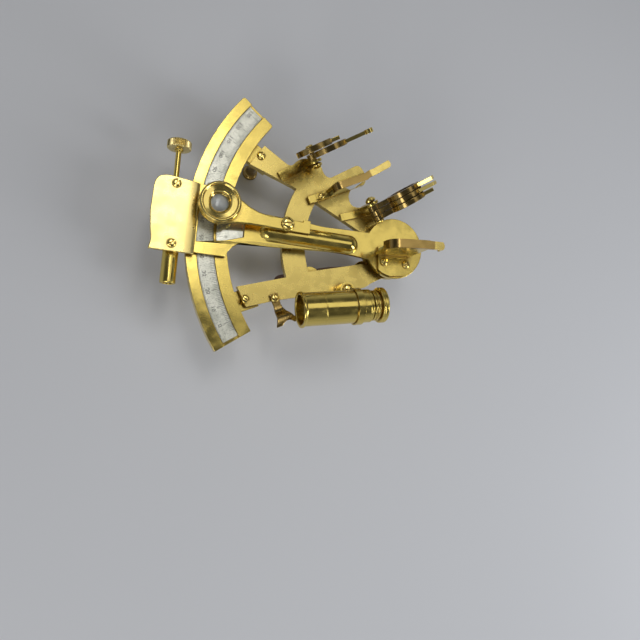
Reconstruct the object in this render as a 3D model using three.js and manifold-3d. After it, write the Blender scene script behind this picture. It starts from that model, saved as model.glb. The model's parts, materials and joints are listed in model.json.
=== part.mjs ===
// Nautical sextant, about 120 mm wide. Millimetres, +Z up, lying face up on its three feet.
// The origin is on the ground at the middle of the footprint. The arc lies towards -X and the
// pivot of the index arm towards +X. Angles along the arc are polar angles about the pivot,
// 0 along -X and positive towards +Y.
import * as THREE from "three";
import { mergeVertices } from "three/addons/utils/BufferGeometryUtils.js";
import Module from "manifold-3d";

const wasm = await Module();
wasm.setup();

// ---- driving dimensions ----
const PIVOT_X = 44.96; // pivot of the index arm, measured from the origin
const PIVOT_Y = 0.21;
const LIMB_OUTER = 90; // radius of the arc's outer edge
const LIMB_INNER = 73.3;
const LIMB_SPAN = 36.5; // half angle of the arc, degrees
const SCALE_INNER = 78.6; // silver strip let into the arc
const SCALE_OUTER = 85.6;
const BAND_OUTER = 49.5; // curved cross band of the frame
const BAND_INNER = 39.4;
const APEX_R = 12.5; // frame around the pivot
const FRAME_BACK = 21;
const FRAME_FRONT = 24;
const LIMB_BACK = 22.5;
const LIMB_FRONT = 27;
const CHANNEL_DEPTH = 0.9;
const ARM_BACK = 27.3;
const ARM_FRONT = 29.3;
const ARM_REST = 1.15; // degrees, towards -Y
const DISC_R = 13.3; // index arm around the pivot
const RIB_R = 4.2;
const RIB_Z = 27.7;
const STRUT_ANGLE = 26.2; // where the struts are screwed to the arc
const LUG_R = 69.3;
const SCREW_R = 1.8; // slotted screw heads
const SHANK_R = 1.1;
const GAP = 0.1; // between pieces that touch
const TURNED_GAP = 0.3; // the same, inside a turned group
const TUBE_R = 6.8; // telescope
const SCOPE_AXIS_Z = 39.5;
const SHADE_R = 7.6;
const SHADE_ARM = 14; // from a shade's pin to the middle of its glass
const CORNER = 1.2; // rounding of the limb's ends

// ---- finishes ----
const finish = (color, roughness, metalness, more = {}) =>
  new THREE.MeshStandardMaterial({ color, roughness, metalness, ...more });
const BRASS = finish(0xc9a53a, 0.28, 1);
const BRASS_BRUSHED = finish(0xc2a552, 0.42, 1);
const BRASS_DARK = finish(0x8a6d2c, 0.35, 1);
const BRASS_BRIGHT = finish(0xe0bc4c, 0.18, 1);
const SILVER = finish(0xb9bbb0, 0.4, 1);
const MIRROR = finish(0xe8ecee, 0.05, 1);
const LENS = finish(0xdfeaf0, 0.05, 0, { transparent: true, opacity: 0.35 });
const WOOD = finish(0x4a2414, 0.45, 0);
const TINTS = [0x3c5a46, 0x6b5a2e, 0x5a3436].map((c) =>
  finish(c, 0.08, 0, { transparent: true, opacity: 0.6 }));

// ---- joining and cutting ----
const rad = THREE.MathUtils.degToRad;

function toSolid(geometry) {
  const bare = geometry.clone();
  bare.deleteAttribute("normal");
  bare.deleteAttribute("uv");
  const merged = mergeVertices(bare, 1e-3);
  return new wasm.Manifold(new wasm.Mesh({
    numProp: 3,
    vertProperties: merged.attributes.position.array,
    triVerts: new Uint32Array(merged.index.array),
  }));
}

function toGeometry(solid) {
  const mesh = solid.getMesh();
  return new THREE.BufferGeometry()
    .setAttribute("position", new THREE.BufferAttribute(mesh.vertProperties, 3))
    .setIndex(new THREE.BufferAttribute(mesh.triVerts, 1));
}

const join = (first, ...rest) =>
  toGeometry(rest.reduce((solid, g) => solid.add(toSolid(g)), toSolid(first)));
const cut = (first, ...tools) =>
  toGeometry(tools.reduce((solid, g) => solid.subtract(toSolid(g)), toSolid(first)));
const meet = (first, second) => toGeometry(toSolid(first).intersect(toSolid(second)));

// ---- shapes ----
const onArc = (r, angle) => new THREE.Vector2(-r * Math.cos(rad(angle)), r * Math.sin(rad(angle)));

function prism(shape, low, high, segments = 5) {
  const depth = high - low;
  const options = { depth, bevelEnabled: false, curveSegments: segments };
  return new THREE.ExtrudeGeometry(shape, options).translate(0, 0, low);
}

function block(x0, x1, y0, y1, z0, z1) {
  const g = new THREE.BoxGeometry(x1 - x0, y1 - y0, z1 - z0);
  return g.translate((x0 + x1) / 2, (y0 + y1) / 2, (z0 + z1) / 2);
}

function rod(radius, low, high, segments = 24) {
  const g = new THREE.CylinderGeometry(radius, radius, high - low, segments);
  return g.rotateX(Math.PI / 2).translate(0, 0, (low + high) / 2);
}

// A body turned about Z from [radius, height] pairs that run up from the axis, out and back.
function turned(profile, segments = 32) {
  const points = profile.map(([r, z]) => new THREE.Vector2(r, z));
  return new THREE.LatheGeometry(points, segments).rotateX(Math.PI / 2);
}

function ringBody(inner, outer, low, high, segments = 40) {
  return turned([[inner, low], [outer, low], [outer, high], [inner, high], [inner, low]], segments);
}

// A sector of a ring about the pivot, with its two corners at the far end rounded.
function sector(inner, outer, from, to, corner = 0) {
  const shape = new THREE.Shape();
  const steps = Math.ceil((to - from) / 3.7);
  const at = (r, i) => onArc(r, from + ((to - from) * i) / steps);
  const cutBack = (corner / outer) * (180 / Math.PI);
  shape.moveTo(...at(outer, 0));
  for (let i = 1; i < steps; i++) shape.lineTo(...at(outer, i));
  shape.lineTo(...onArc(outer, to - cutBack));
  if (corner) {
    shape.quadraticCurveTo(...onArc(outer, to), ...onArc(outer - corner, to));
    shape.lineTo(...onArc(inner + corner, to));
    shape.quadraticCurveTo(...onArc(inner, to), ...onArc(inner, to - cutBack));
  } else shape.lineTo(...onArc(inner, to));
  for (let i = steps - 1; i >= 0; i--) shape.lineTo(...at(inner, i));
  return shape;
}

// Slotted round-headed screw standing on height 0, its shank reaching down.
function screw(head, shank, length, slotAngle = 30, height = head * 0.62) {
  const dome = turned([[0, -length], [shank, -length], [shank, 0], [head, 0], [head, height * 0.35],
    [head * 0.75, height * 0.85], [0, height]], 12);
  const slot = block(-head * 1.2, head * 1.2, -head * 0.13, head * 0.13, height * 0.5, height * 1.4);
  return cut(dome, slot.rotateZ(rad(slotAngle)));
}

// ---- scene graph ----
const sextant = new THREE.Group();
const plan = new THREE.Group();
plan.position.set(PIVOT_X, PIVOT_Y, 0);
sextant.add(plan);

function piece(parent, name, geometry, material) {
  const mesh = new THREE.Mesh(geometry, material);
  mesh.name = name;
  parent.add(mesh);
  return mesh;
}

function group(parent, x, y, z, turn = 0) {
  const g = new THREE.Group();
  g.position.set(x, y, z);
  g.rotation.z = rad(turn);
  parent.add(g);
  return g;
}

const lugSpots = [onArc(LUG_R, STRUT_ANGLE + 0.3), onArc(LUG_R, -STRUT_ANGLE)];
const handleSpots = [[-34.5, -16.5], [-10.4, -10.2]];
const apexFoot = [8.6, 0];

// ---- frame ----
function lowerStrut() {
  const s = new THREE.Shape();
  s.moveTo(-66, -25.8);
  s.lineTo(-46.3, -19.1);
  s.lineTo(-36.5, -15.1);
  s.lineTo(-11, -7.5);
  s.lineTo(0, 0);
  s.lineTo(9, -8.6);
  s.quadraticCurveTo(-4, -12.4, -10, -18);
  s.lineTo(-16, -20.3);
  s.quadraticCurveTo(-17, -25.4, -21.4, -25.4);
  s.quadraticCurveTo(-25, -25.4, -26.2, -22.7);
  s.lineTo(-49.1, -29.2);
  s.lineTo(-61.4, -33.7);
  return s;
}

function upperStrut() {
  const s = new THREE.Shape();
  s.moveTo(-66.4, 26.4);
  s.lineTo(-46.9, 20.5);
  s.lineTo(-18.6, 7.9);
  s.lineTo(0, 0);
  s.lineTo(0, APEX_R);
  s.quadraticCurveTo(-7, 13, -9.5, 17);
  s.quadraticCurveTo(-12, 19.4, -15.2, 17.2);
  s.quadraticCurveTo(-20.6, 15.6, -21.4, 21);
  s.quadraticCurveTo(-21.4, 24.4, -18.9, 25.9);
  s.lineTo(-14.7, 27.8);
  s.quadraticCurveTo(-12.8, 31, -16.4, 34.9);
  s.quadraticCurveTo(-18.2, 36.6, -20.2, 35);
  s.lineTo(-30.4, 27.8);
  s.quadraticCurveTo(-33, 27.4, -34.4, 30.1);
  s.quadraticCurveTo(-36, 34.6, -41.5, 34.2);
  s.quadraticCurveTo(-45.6, 33.6, -47.4, 30.6);
  s.quadraticCurveTo(-48.8, 28.7, -51, 30);
  s.lineTo(-61.1, 35.7);
  return s;
}

function buildFrame() {
  const low = FRAME_BACK;
  const high = FRAME_FRONT;
  const plate = join(
    prism(lowerStrut(), low, high),
    prism(upperStrut(), low, high),
    prism(sector(BAND_INNER, BAND_OUTER, -27, 27), low, high),
    rod(APEX_R, low, high, 32),
    rod(9, high - 1, LIMB_FRONT, 24),
  );
  const holes = lugSpots.map(({ x, y }) => rod(SHANK_R + 0.15, low - 1, high + 1, 12).translate(x, y, 0));
  piece(plan, "frame_plate", cut(plate, rod(4.1, low - 1, LIMB_FRONT + 1, 20), ...holes), BRASS_BRUSHED);
}

function buildLimb() {
  const floor = LIMB_FRONT - CHANNEL_DEPTH;
  const base = prism(sector(LIMB_INNER, LIMB_OUTER, -LIMB_SPAN, LIMB_SPAN, CORNER), LIMB_BACK, LIMB_FRONT);
  const channel = prism(sector(SCALE_INNER, SCALE_OUTER, -40, 40), floor, LIMB_FRONT + 1);
  const lugTop = FRAME_BACK - GAP;
  const lugs = [STRUT_ANGLE + 0.3, -STRUT_ANGLE].map((angle) => {
    const tongue = block(-82, -64, -4.4, 4.4, lugTop - 2.8, lugTop);
    const riser = block(-82, -74.4, -4.4, 4.4, lugTop - 1, LIMB_BACK + 0.5);
    const hole = rod(SHANK_R + 0.15, 10, 30, 12).translate(-LUG_R, 0, 0);
    return cut(join(tongue, riser), hole).rotateZ(rad(-angle));
  });
  piece(plan, "limb", join(cut(base, channel), ...lugs), BRASS);
  const band = sector(SCALE_INNER + 0.15, SCALE_OUTER - 0.15, -35.6, 35.6);
  const strip = prism(band, floor + 0.05, floor + 0.65);
  piece(plan, "scale_strip", strip, SILVER);
}

function foot(height, bored) {
  const bore = SHANK_R + 0.15;
  const end = bored ? [[3.2, height], [bore, height], [bore, height - 6], [0, height - 6]]
    : [[3.2, height], [0, height]];
  return turned([[0, 0], [3, 0], [3.4, 0.6], [3.2, 1.6], [2.1, 2.8], [1.8, 4.5], [1.8, height - 4.5],
    [2.5, height - 2.6], [3.2, height - 1.6], ...end], 14);
}

function buildFeet() {
  const [upper, lower] = lugSpots;
  const bored = FRAME_BACK - 3 - GAP;
  piece(plan, "foot_upper", foot(bored - GAP, true).translate(upper.x, upper.y, 0), BRASS_DARK);
  piece(plan, "foot_lower", foot(bored - GAP, true).translate(lower.x, lower.y, 0), BRASS_DARK);
  piece(plan, "foot_apex", foot(FRAME_BACK - GAP, false).translate(...apexFoot, 0), BRASS_DARK);
  const place = (g, { x, y }) => g.translate(x, y, FRAME_FRONT + GAP);
  piece(plan, "limb_screw_upper", place(screw(SCREW_R, SHANK_R, 11, 60), upper), BRASS_BRIGHT);
  piece(plan, "limb_screw_lower", place(screw(SCREW_R, SHANK_R, 11, -35), lower), BRASS_BRIGHT);
}

// Grip on two posts behind the lower strut, with room for the fingers above it.
const GRIP_Z = 8;
function buildHandle() {
  const [[x0, y0], [x1, y1]] = handleSpots;
  const span = Math.hypot(x1 - x0, y1 - y0);
  const turn = THREE.MathUtils.radToDeg(Math.atan2(y1 - y0, x1 - x0));
  const handle = group(plan, x0, y0, 0, turn);
  const half = [[0, -13], [2.2, -12.6], [3.6, -11], [3.9, -8], [3.7, -4], [4.4, 3], [5, span / 2]];
  const back = half.slice(0, -1).reverse().map(([r, u]) => [r, span - u]);
  const grip = turned([...half, ...back], 18).rotateY(Math.PI / 2).translate(0, 0, GRIP_Z);
  const sockets = [0, span].map((u) => rod(2.4, GRIP_Z, GRIP_Z + 8, 12).translate(u, 0, 0));
  piece(handle, "handle_grip", cut(grip, ...sockets), WOOD);
  const top = FRAME_BACK - GAP;
  ["outer", "inner"].forEach((where, i) => {
    const post = turned([[0, GRIP_Z + 0.5], [2.1, GRIP_Z + 0.5], [2.1, top - 3], [2.6, top - 2],
      [4.5, top - 1.6], [4.5, top], [0, top]], 18);
    piece(handle, "handle_post_" + where, post.translate(i * span, 0, 0), BRASS);
  });
}

// ---- pivot ----
function buildPivot() {
  const bush = [[3.1, 20], [5.2, 20], [5.2, FRAME_BACK - GAP], [4, FRAME_BACK - GAP], [4, LIMB_FRONT + GAP],
    [3.1, LIMB_FRONT + GAP], [3.1, 20]];
  piece(plan, "pivot_bearing", turned(bush, 20), BRASS_DARK);
}

// ---- index arm, in its own turned group: the arm's centre line runs along -X ----
const arm = group(plan, 0, 0, 0, ARM_REST);
const PLATE_LEFT = -104;
const PLATE_HALF = 15;
const WINDOW_LEFT = -85.3;
const WINDOW_RIGHT = -66.7;
const VERNIER_R = 77.7; // edge of the vernier plate that meets the scale
const COVER_BACK = ARM_FRONT + GAP;
const COVER_FRONT = COVER_BACK + 1.5;

function armPlate() {
  const s = new THREE.Shape();
  s.moveTo(0, -6);
  s.lineTo(-12, -6.4);
  s.quadraticCurveTo(-20, -5.4, -30, -5.4);
  s.lineTo(-50, -6.2);
  s.lineTo(-62.5, -6.4);
  s.quadraticCurveTo(-71.5, -7.2, -73.4, -14);
  s.lineTo(PLATE_LEFT + 1.5, -14);
  s.lineTo(PLATE_LEFT + 1.5, 14);
  s.lineTo(-73.4, 14);
  s.quadraticCurveTo(-71.5, 7.2, -62.5, 6.2);
  s.lineTo(-39, 5.2);
  s.quadraticCurveTo(-33, 4.3, -27, 4.9);
  s.lineTo(-12, 5.3);
  s.lineTo(0, 6);
  return s;
}

// The window over the scale narrows towards the pivot.
function windowShape(inset) {
  const s = new THREE.Shape();
  s.moveTo(WINDOW_LEFT + inset, -9.3 + inset);
  s.lineTo(-74, -7.4 + inset);
  s.lineTo(WINDOW_RIGHT - inset, -5 + inset);
  s.lineTo(WINDOW_RIGHT - inset, 5 - inset);
  s.lineTo(-74, 7.4 - inset);
  s.lineTo(WINDOW_LEFT + inset, 9.3 - inset);
  return s;
}

function buildArm() {
  const ribLength = 35;
  const rib = new THREE.CapsuleGeometry(RIB_R, ribLength, 6, 24).rotateZ(Math.PI / 2);
  rib.translate(-21.2 - ribLength / 2, -1.3, RIB_Z);
  const below = block(-80, 0, -10, 10, ARM_BACK - 10, ARM_BACK);
  const window = prism(windowShape(0), ARM_BACK - 1, ARM_FRONT + 1);
  const plate = join(prism(armPlate(), ARM_BACK, ARM_FRONT), rod(DISC_R, ARM_BACK, ARM_FRONT, 36), rib);
  const body = cut(plate, below, window, rod(3.1, 20, ARM_FRONT + 1, 20));
  piece(arm, "index_arm", body, BRASS);

  const inWindow = prism(windowShape(GAP), ARM_BACK, ARM_BACK + 1.1);
  piece(arm, "vernier", meet(inWindow, rod(VERNIER_R, 20, 40, 120)), SILVER);

  piece(arm, "pivot_pin", rod(3, 16.6, ARM_FRONT - 0.1, 20), BRASS_BRIGHT);
  const nut = new THREE.CylinderGeometry(4.6, 4.6, 2.5, 6).rotateX(Math.PI / 2).translate(0, 0, 18.45);
  piece(arm, "pivot_nut", cut(nut, rod(3.1, 10, 30, 20)), BRASS);
}

function buildCover() {
  const right = -85.8;
  const s = new THREE.Shape();
  s.moveTo(right, -PLATE_HALF);
  s.lineTo(PLATE_LEFT + 0.6, -PLATE_HALF);
  s.lineTo(PLATE_LEFT + 1.1, -12.5);
  s.quadraticCurveTo(PLATE_LEFT + 1.6, -11, PLATE_LEFT + 0.8, -8);
  s.lineTo(PLATE_LEFT, 0);
  s.lineTo(PLATE_LEFT + 0.4, 9.8);
  s.quadraticCurveTo(PLATE_LEFT + 0.6, PLATE_HALF, PLATE_LEFT + 6, PLATE_HALF);
  s.lineTo(right, PLATE_HALF - 1.2);
  const profile = new THREE.Shape();
  profile.moveTo(PLATE_LEFT - 1, COVER_BACK);
  profile.lineTo(right, COVER_BACK);
  profile.quadraticCurveTo(right, COVER_FRONT, right - 4.5, COVER_FRONT);
  profile.lineTo(PLATE_LEFT - 1, COVER_FRONT);
  const side = prism(profile, -20, 20).rotateX(Math.PI / 2);
  const spots = [["upper", -95.1, 12.1, 65], ["lower", -94.8, -11.9, 40]];
  const holes = spots.map(([, x, y]) => rod(SHANK_R + 0.15, 20, 40, 12).translate(x, y, 0));
  piece(arm, "cover_plate", cut(meet(prism(s, COVER_BACK, COVER_FRONT), side), ...holes), BRASS_BRUSHED);
  for (const [name, x, y, slot] of spots) {
    const g = screw(SCREW_R, SHANK_R, 1.2, slot).translate(x, y, COVER_FRONT + GAP);
    piece(arm, "cover_screw_" + name, g, BRASS_BRIGHT);
  }
}

// Tangent screw: a block under the arm's end carries the screw and its spring barrel.
const TANGENT = { x: -95.2, z: 24, shaft: 1.1, knob: 4.85 };
function buildTangent() {
  const alongY = (g, y) => g.rotateX(-Math.PI / 2).translate(TANGENT.x, y, TANGENT.z);
  const half = 13.4;
  const body = block(-101, -91.4, -half, half, 21.2, ARM_BACK - GAP);
  const keeper = block(-93, -86.6, -7, 7, 20.8, LIMB_BACK - 0.3);
  const bore = alongY(rod(TANGENT.shaft + 0.2, -20, 20, 20), 0);
  piece(arm, "tangent_block", cut(join(body, keeper), bore), BRASS_DARK);
  const barrel = turned([[0, 0], [3.15, 0], [3.15, 13], [2.9, 13.3], [2.1, 13.3], [2.1, 3], [0, 3]], 18);
  barrel.rotateX(Math.PI / 2).translate(TANGENT.x + 0.9, -half - GAP, TANGENT.z);
  piece(arm, "tangent_barrel", barrel, BRASS);
  const r = TANGENT.knob;
  const shaft = [[0, -12], [TANGENT.shaft, -12], [TANGENT.shaft, 28.2], [r * 0.93, 28.2], [r, 28.6]];
  const crown = [[r, 31.2], [r * 0.93, 31.6], [1.5, 31.6], [1.3, 31.2], [0, 31.2]];
  piece(arm, "tangent_screw", alongY(turned([...shaft, ...crown], 20), 0), BRASS);
}

// A mirror on its bracket: a back plate with the glass beside it, and a strap that goes over
// both from the left edge, along the top, and ends in a bent tab.
function buildMirror(parent, prefix, m) {
  const { left, right, base, top, tab, neck, corner, width, foot: footPieces, side = 1 } = m;
  const back = new THREE.Shape();
  back.moveTo(left, base);
  back.lineTo(right, base);
  back.lineTo(right, top);
  back.lineTo(left + corner, top);
  back.quadraticCurveTo(left, top, left, top - corner);
  const stand = (shape, y0, y1) => prism(shape, -y1, -y0).rotateX(Math.PI / 2);
  const lo = Math.min(0, side * 1.4);
  const plate = stand(back, lo, lo + 1.4);
  piece(parent, prefix + "_bracket", join(plate, ...footPieces), BRASS);
  const glass = new THREE.Shape();
  glass.moveTo(left + 0.8, base + 1.6);
  glass.lineTo(right - 0.6, base + 1.6);
  glass.lineTo(right - 0.6, top - 0.4);
  glass.lineTo(left + corner, top - 0.4);
  glass.quadraticCurveTo(left + 0.8, top - 0.4, left + 0.8, top - corner);
  const g0 = side > 0 ? -TURNED_GAP / 2 - 1.5 : TURNED_GAP / 2;
  piece(parent, prefix + "_glass", stand(glass, g0, g0 + 1.5), MIRROR);
  const y0 = side > 0 ? -2.2 : -1.4;
  const y1 = y0 + width;
  const [end, endLow, endHigh] = tab;
  const [neckX, neckLow, neckHigh] = neck;
  const outline = new THREE.Shape();
  outline.moveTo(right - 3, y0);
  outline.lineTo(right, y0);
  outline.quadraticCurveTo(right + 0.8, neckLow, neckX, neckLow);
  outline.lineTo(end, endLow);
  outline.quadraticCurveTo(end + 1.4, (endLow + endHigh) / 2, end, endHigh);
  outline.lineTo(neckX, neckHigh);
  outline.quadraticCurveTo(right + 0.8, neckHigh, right, y1);
  outline.lineTo(right - 3, y1);
  const bar = prism(outline, top + 0.15, top + 1.4);
  const over = new THREE.Shape();
  over.moveTo(right - 1, top + 0.15);
  over.lineTo(right - 1, top + 1.4);
  over.lineTo(left + corner, top + 1.4);
  over.quadraticCurveTo(left - 1.4, top + 1.4, left - 1.4, top - corner);
  over.lineTo(left - 1.4, top - corner - 1);
  over.lineTo(left - 0.3, top - corner - 1);
  over.lineTo(left - 0.3, top - corner);
  over.quadraticCurveTo(left - 0.3, top + 0.15, left + corner, top + 0.15);
  const bent = block(end - 0.8, end, endLow, endHigh, top - 2.2, top + 0.5);
  piece(parent, prefix + "_clip", join(bar, stand(over, y0, y1), bent), BRASS_BRIGHT);
}

function buildIndexMirror() {
  const low = ARM_FRONT + GAP;
  const mirror = group(arm, 0, -2.2, 0, 5);
  const base = new THREE.Shape();
  base.moveTo(-8, 2.4);
  base.lineTo(-8, -7.6);
  base.lineTo(-5.4, -10.4);
  base.lineTo(9, -9.6);
  base.lineTo(11.6, -4);
  base.lineTo(11.6, 2.4);
  const onDisc = rod(DISC_R - 0.6, low, low + 1.3, 48).rotateZ(rad(-5)).translate(0, 2.2, 0);
  const spots = [["left", -5.4, -4.2, 80], ["right", 5, -4.9, 20]];
  const holes = spots.map(([, x, y]) => rod(SHANK_R + 0.15, 20, 40, 12).translate(x, y, 0));
  const plate = cut(meet(prism(base, low, low + 1.3), onDisc), ...holes);
  buildMirror(mirror, "index_mirror",
    { left: -9, right: 7, base: low + 0.2, top: 47.5, corner: 5, width: 3.6, neck: [9, -1.4, 2],
      tab: [13.4, -1.5, 1.8], foot: [plate], side: -1 });
  for (const [name, x, y, slot] of spots) {
    const g = screw(SCREW_R, SHANK_R, 1, slot).translate(x, y, low + 1.3 + GAP);
    piece(mirror, "index_bracket_screw_" + name, g, BRASS_BRIGHT);
  }
}

// Reading magnifier over the scale: bar on the rib, swinging arm, dished bezel and lens.
const MAG = { x: -50.4, y: 1.8, reach: 28, rise: 3.8, low: 33.7 };
function buildMagnifier() {
  const barLow = RIB_Z + RIB_R + 0.2;
  const barTop = barLow + 1;
  const bar = join(
    block(MAG.x, -40, -0.4, 4, barLow, barTop),
    block(-43, -40, 3.2, 5, ARM_FRONT + GAP, barTop),
    rod(2.7, barLow, barTop, 20).translate(MAG.x, MAG.y, 0),
  );
  const hole = rod(SHANK_R + 0.15, 20, 50, 12).translate(MAG.x, MAG.y, 0);
  piece(arm, "magnifier_bar", cut(bar, hole), BRASS);
  const mag = group(arm, MAG.x, MAG.y, 0);
  const top = MAG.low + 1.6;
  const neck = new THREE.Shape();
  neck.moveTo(0.6, 2.7);
  neck.lineTo(-3, 2.2);
  neck.quadraticCurveTo(-15, 1.2, 4.6 - MAG.reach, MAG.rise + 6.6);
  neck.lineTo(3.4 - MAG.reach, MAG.rise - 7.3);
  neck.quadraticCurveTo(-15, -2, -3, -2.9);
  neck.lineTo(0.6, -2.7);
  const swing = cut(
    join(prism(neck, MAG.low, top), rod(3.1, MAG.low, top, 24),
      rod(8.2, MAG.low - 0.3, top, 28).translate(-MAG.reach, MAG.rise, 0)),
    rod(SHANK_R + 0.15, 20, 50, 12),
    rod(4.1, 20, 50, 20).translate(-MAG.reach, MAG.rise, 0),
  );
  piece(mag, "magnifier_arm", swing, BRASS);
  const z = top + GAP;
  const dish = [[3.5, z], [8, z], [8.2, z + 0.4], [8.2, z + 2.6], [7.8, z + 3.3], [7.2, z + 3.4],
    [6.7, z + 3], [3.5, z + 0.9], [3.5, z]];
  piece(mag, "magnifier_bezel", turned(dish, 28).translate(-MAG.reach, MAG.rise, 0), BRASS_BRIGHT);
  const lens = turned([[0, MAG.low - 0.1], [3, MAG.low + 0.1], [4, MAG.low + 0.5], [4, top - 0.3],
    [2.6, top - 0.1], [0, top]], 20);
  piece(mag, "magnifier_lens", lens.translate(-MAG.reach, MAG.rise, 0), LENS);
  const head = screw(2.6, SHANK_R, top + GAP - barLow - 0.2, 0, 1.7).translate(MAG.x, MAG.y, top + GAP);
  piece(arm, "magnifier_pivot_screw", head, BRASS_BRIGHT);
}

// ---- horizon mirror: a long low foot and an upright past the sweep of the arm ----
function buildHorizonMirror() {
  const mirror = group(plan, -19.6, 26.6, 0, 29);
  const low = FRAME_FRONT + GAP;
  const foot = [block(-23.2, 1, -1.7, 1.6, low, low + 1.4), block(-23.2, -19.5, -1.7, 1.6, low, low + 2)];
  buildMirror(mirror, "horizon_mirror",
    { left: -14, right: -0.5, base: low + 0.2, top: 38.6, corner: 2, width: 3, neck: [3.5, -1.4, 1.4],
      tab: [11.4, -0.2, 2.8], foot });
  const head = screw(1.4, 0.8, 0.01, 0, 0.9);
  piece(mirror, "horizon_bracket_screw", head.translate(-16.8, -0.05, low + 1.4 + GAP), BRASS_BRIGHT);
}

// ---- shades: tinted discs in rings that swing side by side on one pin ----
// In a shade's group X runs along the glass, Z up, and the pin along Y. `way` is the direction
// along Y from the bracket's ear to the shades, and distances along the pin count that way.
const EAR = 1.2; // thickness of a bracket's ear
const HORIZON_SHADES = { way: 1, lean: 10, place: [1.2, 4.2], ear: -0.4, pinZ: 30, first: 0.2, pitch: 2.6,
  half: 1.15, turns: [84, 108], tabs: [[-54, 8.3, 0.6, 1.7], [-90, 3.4, 1.5]] };
const INDEX_SHADES = { way: -1, lean: 5, place: [0, 0.7], ear: -5.2, pinZ: 32.5, first: -4.9, pitch: 2.3,
  half: 1.05, turns: [26, 29, 32], tabs: [[24, 6.5, 1.6], [28, 7, 1.6], [2, 4, 1.6]] };
const SHADE_BASE = FRAME_FRONT + GAP;

// A tab is [angle, length, half width] and, where it ends in an eye, the eye's radius.
function shadeRing(half, [tabAngle, tabLength, tabHalf, eye = 0]) {
  const seat = ringBody(5.9, SHADE_R, -half, half, 24).translate(SHADE_ARM, 0, 0);
  const link = cut(block(0, SHADE_ARM - 6.6, -1.7, 1.7, -half, half), rod(1.15, -2, 2, 12));
  const hub = ringBody(1.15, 2.6, -half, half, 12);
  const tab = block(SHADE_R - 0.5, SHADE_R + tabLength, -tabHalf, tabHalf, -0.75, 0.75);
  const reach = SHADE_R + tabLength + eye * 0.8;
  const loop = eye ? [ringBody(eye * 0.4, eye, -0.9, 0.9, 16).translate(reach, 0, 0)] : [];
  for (const g of [tab, ...loop]) g.rotateZ(rad(tabAngle)).translate(SHADE_ARM, 0, 0);
  return join(seat, link, hub, tab, ...loop);
}

function buildShades(parent, prefix, s) {
  const head = s.ear - EAR - 0.2;
  const end = s.first + s.pitch * (s.turns.length - 1) + 2 * s.half + 0.2;
  const pin = turned([[0, head - 2.4], [1.3, head - 2.1], [2.3, head - 1.2], [2.3, head - 0.5], [1.6, head],
    [1, head], [1, end], [1.6, end], [1.6, end + 0.6], [1, end + 0.9], [0, end + 0.9]], 12);
  const hinge = group(parent, ...s.place, SHADE_BASE);
  hinge.rotation.x = rad(s.lean);
  const pinUp = s.pinZ - SHADE_BASE;
  piece(hinge, prefix + "_pin", pin.rotateX((-s.way * Math.PI) / 2).translate(0, 0, pinUp), BRASS_BRIGHT);
  s.turns.forEach((turn, i) => {
    const holder = group(hinge, 0, s.way * (s.first + s.pitch * i + s.half), pinUp);
    holder.rotation.x = Math.PI / 2;
    const spin = group(holder, 0, 0, 0, turn);
    piece(spin, `${prefix}_${i + 1}`, shadeRing(s.half, s.tabs[i]), BRASS_DARK);
    const glass = rod(5.7, -0.5, 0.5, 24).translate(SHADE_ARM, 0, 0);
    piece(spin, `${prefix}_glass_${i + 1}`, glass, TINTS[i]);
  });
}

function shadeBracket(s, ...foot) {
  const pinUp = s.pinZ - SHADE_BASE;
  const ear = new THREE.Shape();
  ear.moveTo(-2.8, -1);
  ear.lineTo(2.8, -1);
  ear.lineTo(2.8, pinUp);
  ear.absarc(0, pinUp, 2.8, 0, Math.PI, false);
  const middle = -s.way * (s.ear - EAR / 2);
  const upright = prism(ear, middle - EAR / 2, middle + EAR / 2, 12).rotateX(Math.PI / 2);
  const bore = rod(1.15, -10, 10, 16).rotateX(Math.PI / 2).translate(0, 0, pinUp);
  const leaned = cut(upright, bore).rotateX(rad(s.lean)).translate(...s.place, SHADE_BASE);
  return join(cut(leaned, block(-12, 12, -12, 12, 0, SHADE_BASE)), ...foot);
}

function buildShadeSets() {
  const top = SHADE_BASE + 1.2;
  const horizon = group(plan, -39.5, 28.8, 0, 35);
  const strip = block(-14.5, 1.2, 1.3, 5.4, SHADE_BASE, top);
  const link = block(-1.6, 4, 2, 5.4, SHADE_BASE, top);
  piece(horizon, "horizon_shade_bracket", shadeBracket(HORIZON_SHADES, strip, link), BRASS);
  buildShades(horizon, "horizon_shade", HORIZON_SHADES);

  const index = group(plan, -10.1, 12.2, 0, 38);
  const slope = rad(-16.4);
  const oblique = block(-12.8, 2, -1.5, 1.5, SHADE_BASE, top).rotateZ(slope).translate(0, 4, 0);
  const base = block(-2.8, 2.8, 4, 7.2, SHADE_BASE, top);
  piece(index, "index_shade_bracket", shadeBracket(INDEX_SHADES, oblique, base), BRASS);
  buildShades(index, "index_shade", INDEX_SHADES);
}

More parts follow.
